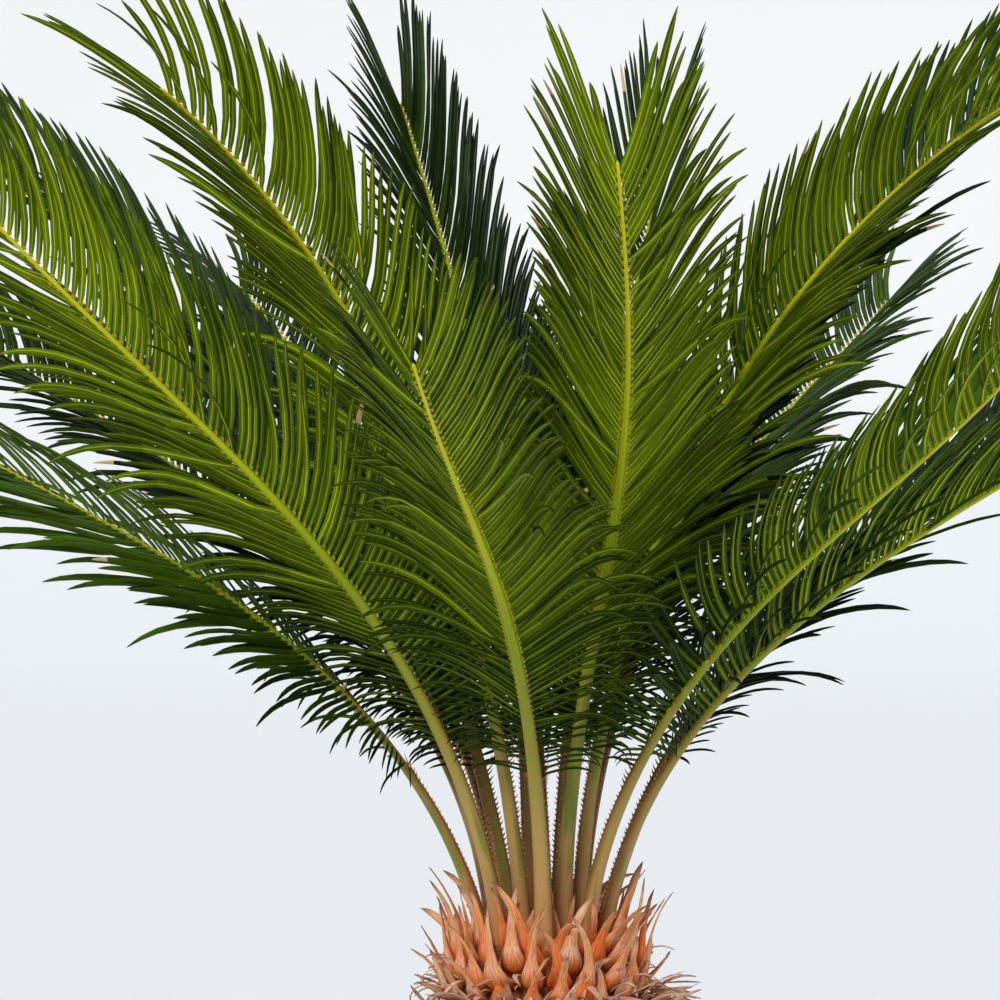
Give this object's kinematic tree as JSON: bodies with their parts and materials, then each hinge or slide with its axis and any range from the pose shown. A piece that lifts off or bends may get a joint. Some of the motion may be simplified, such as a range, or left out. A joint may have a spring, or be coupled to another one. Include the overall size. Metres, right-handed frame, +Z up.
{
  "type": "sago palm",
  "caption": "Whole sago palm: a short rough trunk clad in old leaf bases, a collar of pointed scale leaves and a full crown of stiff feather-shaped fronds.",
  "frame": {"origin": "centre of the flat cut under the trunk, at ground level", "axes": "+Z up along the trunk, -Y towards the viewer of the picture, +X to the right in it"},
  "size_m": [1.5756, 1.6617, 1.3771],
  "materials": {
    "trunk": "rough, woolly and dry",
    "frond": "glossy leaf"
  },
  "bodies": {
    "root": {"trunk": "trunk", "frond_front_left": "frond", "frond_front_right": "frond", "frond_right_mid": "frond", "frond_right_low": "frond", "frond_right_high": "frond", "frond_right_far": "frond", "frond_right_back": "frond", "frond_rear_low": "frond", "frond_rear_right": "frond", "frond_back_right": "frond", "frond_rear_mid": "frond", "frond_back_left": "frond", "frond_rear_left": "frond", "frond_left_back": "frond", "frond_left_rear": "frond", "frond_left_far": "frond", "frond_left_high": "frond", "frond_left_low": "frond", "frond_left_mid": "frond"}
  },
  "joints": []
}
